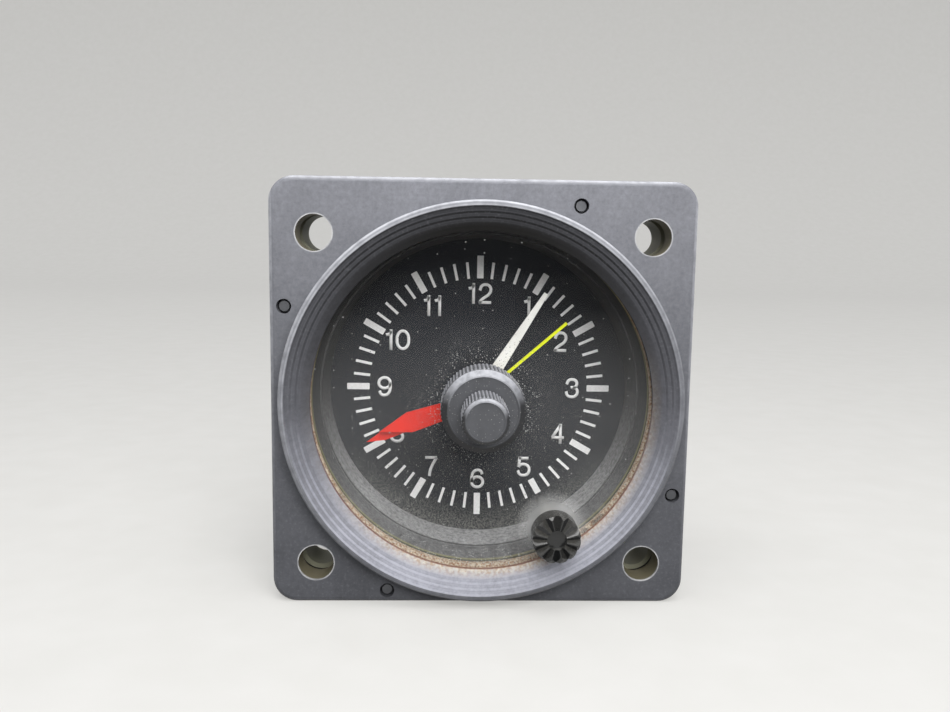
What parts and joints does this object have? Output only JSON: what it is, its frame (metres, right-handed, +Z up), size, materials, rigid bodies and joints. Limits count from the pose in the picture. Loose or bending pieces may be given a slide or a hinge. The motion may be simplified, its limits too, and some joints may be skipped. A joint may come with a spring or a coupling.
{
  "type": "aircraft panel clock",
  "caption": "Square-flanged round panel clock with centre hands, two red memory pointers on a two-tier centre knob and a push-to-set knob.",
  "frame": {"origin": "on the clock's axis, at the centre of the panel bolt pattern, in the flange's front face", "axes": "+X to the right seen from the front, +Y into the panel towards the rear, +Z up"},
  "size_m": [0.0596, 0.0673, 0.0608],
  "materials": {
    "bezel_paint": "satin dark grey enamel, worn at the edges",
    "case_paint": "satin dark grey enamel",
    "lens_glass": "clear, dusty",
    "tan_gasket": "aged tan rubber",
    "black_gasket": "black rubber",
    "spacer_black": "matt black paint, dusty",
    "dial_black": "matt black dial paint",
    "black_steel": "blackened steel",
    "knob_grey": "grey anodised, ridges rubbed bright",
    "knob_black": "glossy black moulding",
    "pointer_red": "red paint",
    "hand_white": "white paint",
    "hand_yellow": "yellow paint",
    "plain_brass": "plain turned brass",
    "plain_steel": "plain turned steel",
    "brown_insulator": "moulded brown insulator",
    "lead_red": "insulated lead",
    "white_nylon": "moulded gear",
    "soft_iron": "stamped soft iron",
    "coil_copper": "enamelled copper wire on a bobbin",
    "board_green": "glass-fibre circuit board",
    "chip_black": "moulded package"
  },
  "bodies": {
    "clock_body": {"bezel_flange": "bezel_paint", "lens": "lens_glass", "lens_gasket": "tan_gasket", "dial_ring": "spacer_black", "dial": "dial_black", "case": "case_paint", "case_gasket": "black_gasket", "case_screws": "black_steel", "rear_cover": "case_paint", "cover_gasket": "black_gasket", "cover_screws": "black_steel", "terminal_studs": "plain_brass", "terminal_insulators": "brown_insulator", "terminal_nuts": "plain_brass", "terminal_leads": "lead_red", "memory_bush": "plain_brass", "bush_ring": "plain_brass", "set_bush": "black_steel", "set_spring": "plain_steel", "wheel_studs": "plain_steel", "dial_posts": "plain_brass", "front_plate": "plain_brass", "back_plate": "plain_brass", "plate_pillars": "plain_steel", "stator": "soft_iron", "stator_posts": "plain_steel", "coil": "coil_copper", "board_standoffs": "plain_steel", "circuit_board": "board_green", "board_screws": "plain_steel", "quartz_crystal": "plain_steel", "driver_chip": "chip_black"},
    "hour_memory": {"large_knob": "knob_grey", "outer_sleeve": "plain_steel", "front_pointer": "pointer_red"},
    "minute_memory": {"small_knob": "knob_grey", "inner_shaft": "plain_steel", "rear_pointer": "pointer_red"},
    "set_slide": {"set_washer": "plain_steel"},
    "set_turner": {"set_knob": "knob_black", "set_stem": "black_steel", "set_clip": "black_steel", "set_pinion": "plain_brass"},
    "seconds": {"seconds_wheel": "plain_brass", "seconds_hand": "hand_yellow"},
    "rotor_body": {"rotor": "soft_iron"},
    "intermediate": {"intermediate_wheel": "white_nylon"},
    "third": {"third_wheel": "plain_brass"},
    "centre": {"centre_wheel": "plain_brass"},
    "minute": {"cannon_pinion": "plain_steel", "minute_hand": "hand_white"},
    "motion": {"motion_wheel": "plain_brass"},
    "hour": {"hour_wheel": "plain_brass", "hour_hand": "hand_white"},
    "set_idler": {"set_wheel": "plain_brass"}
  },
  "joints": [
    {"name": "seconds_spin", "type": "hinge", "parent": "clock_body", "child": "seconds", "pos_m": [0, 0, 0], "axis": [0, 1, 0], "continuous": true},
    {"name": "rotor_spin", "type": "hinge", "parent": "clock_body", "child": "rotor_body", "pos_m": [0.01273, 0, -0.00061], "axis": [0, 1, 0], "continuous": true},
    {"name": "intermediate_spin", "type": "hinge", "parent": "clock_body", "child": "intermediate", "pos_m": [0.00823, 0, 0.00475], "axis": [0, 1, 0], "continuous": true},
    {"name": "third_spin", "type": "hinge", "parent": "clock_body", "child": "third", "pos_m": [-0.009, 0, 0], "axis": [0, 1, 0], "continuous": true},
    {"name": "centre_spin", "type": "hinge", "parent": "clock_body", "child": "centre", "pos_m": [0, 0, 0], "axis": [0, 1, 0], "continuous": true},
    {"name": "minute_spin", "type": "hinge", "parent": "clock_body", "child": "minute", "pos_m": [0, 0, 0], "axis": [0, 1, 0], "continuous": true},
    {"name": "motion_spin", "type": "hinge", "parent": "clock_body", "child": "motion", "pos_m": [0, 0, -0.009], "axis": [0, 1, 0], "continuous": true},
    {"name": "hour_spin", "type": "hinge", "parent": "clock_body", "child": "hour", "pos_m": [0, 0, 0], "axis": [0, 1, 0], "continuous": true},
    {"name": "set_wheel_spin", "type": "hinge", "parent": "clock_body", "child": "set_idler", "pos_m": [0.01003, 0, -0.01212], "axis": [0, 1, 0], "continuous": true},
    {"name": "hour_memory_spin", "type": "hinge", "parent": "clock_body", "child": "hour_memory", "pos_m": [0, 0, 0], "axis": [0, 1, 0], "continuous": true},
    {"name": "minute_memory_spin", "type": "hinge", "parent": "clock_body", "child": "minute_memory", "pos_m": [0, 0, 0], "axis": [0, 1, 0], "continuous": true},
    {"name": "set_push", "type": "slide", "parent": "clock_body", "child": "set_slide", "axis": [0, 1, 0], "range_m": [0, 0.0014], "stiffness_N_per_m": 200, "springref_m": -0.002, "deforming": ["set_spring"]},
    {"name": "set_turn", "type": "hinge", "parent": "set_slide", "child": "set_turner", "pos_m": [0.01045, 0, -0.0181], "axis": [0, 1, 0], "continuous": true}
  ],
  "couplings": [
    {"joint": "rotor_spin", "follows": "seconds_spin", "ratio": 30},
    {"joint": "intermediate_spin", "follows": "seconds_spin", "ratio": -5},
    {"joint": "third_spin", "follows": "seconds_spin", "ratio": -0.125},
    {"joint": "centre_spin", "follows": "seconds_spin", "ratio": 0.016667},
    {"joint": "motion_spin", "follows": "minute_spin", "ratio": -0.33333},
    {"joint": "hour_spin", "follows": "minute_spin", "ratio": 0.083333},
    {"joint": "set_wheel_spin", "follows": "minute_spin", "ratio": 0.6}
  ]
}
